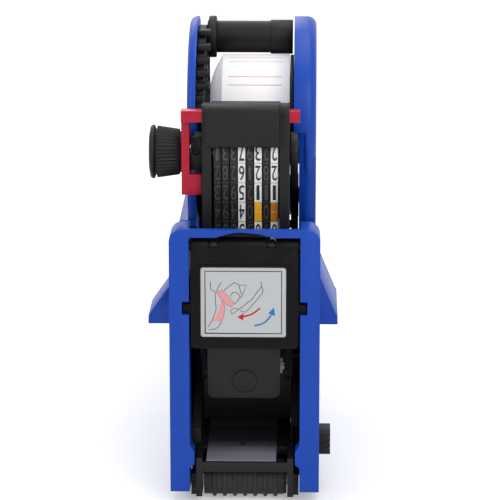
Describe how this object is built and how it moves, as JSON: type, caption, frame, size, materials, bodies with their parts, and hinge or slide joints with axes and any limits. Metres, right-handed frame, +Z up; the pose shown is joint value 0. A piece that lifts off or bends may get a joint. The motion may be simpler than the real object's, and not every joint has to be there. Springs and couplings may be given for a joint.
{
  "type": "price labeler",
  "caption": "Hand-held price labeler: blue shells with a roll chamber, a trigger lever that drives a number-band print head down, a swing-out inker and a ribbed applicator roller.",
  "frame": {"origin": "on the ground, under the middle of the outline seen from above", "axes": "+Y from the label exit back along the handle, +X to the right seen from the label exit, +Z up"},
  "size_m": [0.0628, 0.2, 0.151],
  "materials": {
    "shell_blue": "satin moulded",
    "black_plastic": "fine matt moulded",
    "roller_rubber": "matt",
    "steel": "drawn",
    "red_plastic": "glossy moulded",
    "black_band": "matt moulded",
    "white_band": "matt moulded",
    "white_plastic": "moulded",
    "label_paper": "matt",
    "core_card": "raw card",
    "ink_foam": "open foam, inked",
    "cover_label": "satin printed"
  },
  "bodies": {
    "body": {"left_shell": "shell_blue", "right_shell": "shell_blue", "shell_screws": "steel", "front_frame": "shell_blue", "ink_hinge_pin": "steel", "lever_pivot_shaft": "steel", "holder_hinge_pin": "steel", "base_frame": "black_plastic", "nose_bracket": "black_plastic", "roller_axle": "steel", "cover_hinge_pin": "steel", "feed_axle": "steel", "label_strip": "label_paper", "return_spring": "steel"},
    "lever": {"lever_arm_left": "black_plastic", "lever_arm_right": "black_plastic", "lever_rivet": "steel", "trigger_lever": "shell_blue"},
    "print_head": {"head_housing": "black_plastic", "head_right_plate": "black_plastic", "head_front_panel": "black_plastic", "band_nose": "roller_rubber", "number_band_1": "black_band", "number_band_2": "black_band", "number_band_3": "black_band", "number_band_4": "white_band", "number_band_5": "black_band", "number_band_6": "white_band", "number_band_7": "black_band", "number_band_8": "white_band"},
    "pointer": {"digit_pointer": "red_plastic"},
    "selector": {"selector_knob": "black_plastic", "knob_cap": "black_plastic", "selector_shaft": "steel"},
    "ink_swing": {"ink_carrier": "black_plastic", "ink_axle": "steel"},
    "ink_flap": {"ink_cover": "black_plastic", "ink_label": "cover_label"},
    "ink_wheel": {"ink_roller": "ink_foam", "ink_roller_core": "white_plastic"},
    "applicator": {"applicator_roller": "roller_rubber"},
    "base_lid": {"bottom_cover": "black_plastic"},
    "button": {"release_button": "black_plastic"},
    "feed": {"feed_drum": "red_plastic", "ratchet_wheel": "steel"},
    "rocker": {"feed_rocker": "black_plastic"},
    "pawl": {"feed_pawl": "steel"},
    "link": {"feed_link": "steel"},
    "holder": {"roll_holder": "black_plastic", "roll_cross_tube": "black_plastic"},
    "roll": {"label_roll": "label_paper", "roll_core": "core_card"},
    "wheel_1": {"band_wheel_1": "white_plastic"},
    "wheel_2": {"band_wheel_2": "white_plastic"},
    "wheel_3": {"band_wheel_3": "white_plastic"},
    "wheel_4": {"band_wheel_4": "white_plastic"},
    "wheel_5": {"band_wheel_5": "white_plastic"},
    "wheel_6": {"band_wheel_6": "white_plastic"},
    "wheel_7": {"band_wheel_7": "white_plastic"},
    "wheel_8": {"band_wheel_8": "white_plastic"}
  },
  "joints": [
    {"name": "lever_squeeze", "type": "hinge", "parent": "body", "child": "lever", "pos_m": [0, 0.018, 0.078], "axis": [1, 0, 0], "range_deg": [0, 18.5], "stiffness_Nm_per_rad": 0.4, "springref_deg": -28.65, "deforming": ["return_spring"]},
    {"name": "head_level", "type": "hinge", "parent": "lever", "child": "print_head", "pos_m": [0, -0.069, 0.112], "axis": [1, 0, 0], "range_deg": [-18.5, 0]},
    {"name": "selector_pull", "type": "slide", "parent": "print_head", "child": "pointer", "axis": [1, 0, 0], "range_m": [-0.0186, 0]},
    {"name": "knob_turn", "type": "hinge", "parent": "pointer", "child": "selector", "pos_m": [-0.025, -0.069, 0.112], "axis": [1, 0, 0], "continuous": true},
    {"name": "ink_swing_out", "type": "hinge", "parent": "body", "child": "ink_swing", "pos_m": [0, -0.096, 0.0867], "axis": [1, 0, 0], "range_deg": [-33.3, 0]},
    {"name": "ink_cover_open", "type": "hinge", "parent": "ink_swing", "child": "ink_flap", "pos_m": [0, -0.096, 0.0867], "axis": [1, 0, 0], "range_deg": [-40, 0]},
    {"name": "ink_roller_spin", "type": "hinge", "parent": "ink_swing", "child": "ink_wheel", "pos_m": [0, -0.0777, 0.0409], "axis": [1, 0, 0], "continuous": true},
    {"name": "applicator_spin", "type": "hinge", "parent": "body", "child": "applicator", "pos_m": [0, -0.0913, 0.006], "axis": [1, 0, 0], "continuous": true},
    {"name": "bottom_cover_open", "type": "hinge", "parent": "body", "child": "base_lid", "pos_m": [0, -0.003, 0.0065], "axis": [1, 0, 0], "range_deg": [0, 60]},
    {"name": "button_press", "type": "slide", "parent": "body", "child": "button", "axis": [1, 0, 0], "range_m": [-0.0022, 0], "stiffness_N_per_m": 900, "springref_m": 0.001},
    {"name": "feed_spin", "type": "hinge", "parent": "body", "child": "feed", "pos_m": [0, -0.042, 0.026], "axis": [1, 0, 0], "continuous": true},
    {"name": "rocker_swing", "type": "hinge", "parent": "body", "child": "rocker", "pos_m": [0.014, -0.042, 0.026], "axis": [1, 0, 0], "range_deg": [-21.8, 0]},
    {"name": "pawl_lift", "type": "hinge", "parent": "rocker", "child": "pawl", "pos_m": [0.012, -0.0305, 0.0321], "axis": [1, 0, 0], "range_deg": [-12, 0], "stiffness_Nm_per_rad": 0.004, "springref_deg": 17.19},
    {"name": "link_swing", "type": "hinge", "parent": "lever", "child": "link", "pos_m": [0.012, -0.016, 0.075], "axis": [1, 0, 0], "range_deg": [-18.5, 0]},
    {"name": "roll_holder_open", "type": "hinge", "parent": "body", "child": "holder", "pos_m": [0, 0, 0.118], "axis": [1, 0, 0], "range_deg": [-75, 0]},
    {"name": "roll_spin", "type": "hinge", "parent": "holder", "child": "roll", "pos_m": [0, -0.03, 0.117], "axis": [1, 0, 0], "continuous": true},
    {"name": "wheel_1_turn", "type": "hinge", "parent": "print_head", "child": "wheel_1", "pos_m": [-0.00931, -0.069, 0.112], "axis": [1, 0, 0], "continuous": true},
    {"name": "wheel_2_turn", "type": "hinge", "parent": "print_head", "child": "wheel_2", "pos_m": [-0.00665, -0.069, 0.112], "axis": [1, 0, 0], "continuous": true},
    {"name": "wheel_3_turn", "type": "hinge", "parent": "print_head", "child": "wheel_3", "pos_m": [-0.00399, -0.069, 0.112], "axis": [1, 0, 0], "continuous": true},
    {"name": "wheel_4_turn", "type": "hinge", "parent": "print_head", "child": "wheel_4", "pos_m": [-0.00133, -0.069, 0.112], "axis": [1, 0, 0], "continuous": true},
    {"name": "wheel_5_turn", "type": "hinge", "parent": "print_head", "child": "wheel_5", "pos_m": [0.00133, -0.069, 0.112], "axis": [1, 0, 0], "continuous": true},
    {"name": "wheel_6_turn", "type": "hinge", "parent": "print_head", "child": "wheel_6", "pos_m": [0.00399, -0.069, 0.112], "axis": [1, 0, 0], "continuous": true},
    {"name": "wheel_7_turn", "type": "hinge", "parent": "print_head", "child": "wheel_7", "pos_m": [0.00665, -0.069, 0.112], "axis": [1, 0, 0], "continuous": true},
    {"name": "wheel_8_turn", "type": "hinge", "parent": "print_head", "child": "wheel_8", "pos_m": [0.00931, -0.069, 0.112], "axis": [1, 0, 0], "continuous": true}
  ],
  "couplings": [
    {"joint": "head_level", "follows": "lever_squeeze", "ratio": -1},
    {"joint": "ink_swing_out", "follows": "lever_squeeze", "ratio": -1.8},
    {"joint": "rocker_swing", "follows": "lever_squeeze", "ratio": -1.174},
    {"joint": "link_swing", "follows": "lever_squeeze", "ratio": -1}
  ]
}
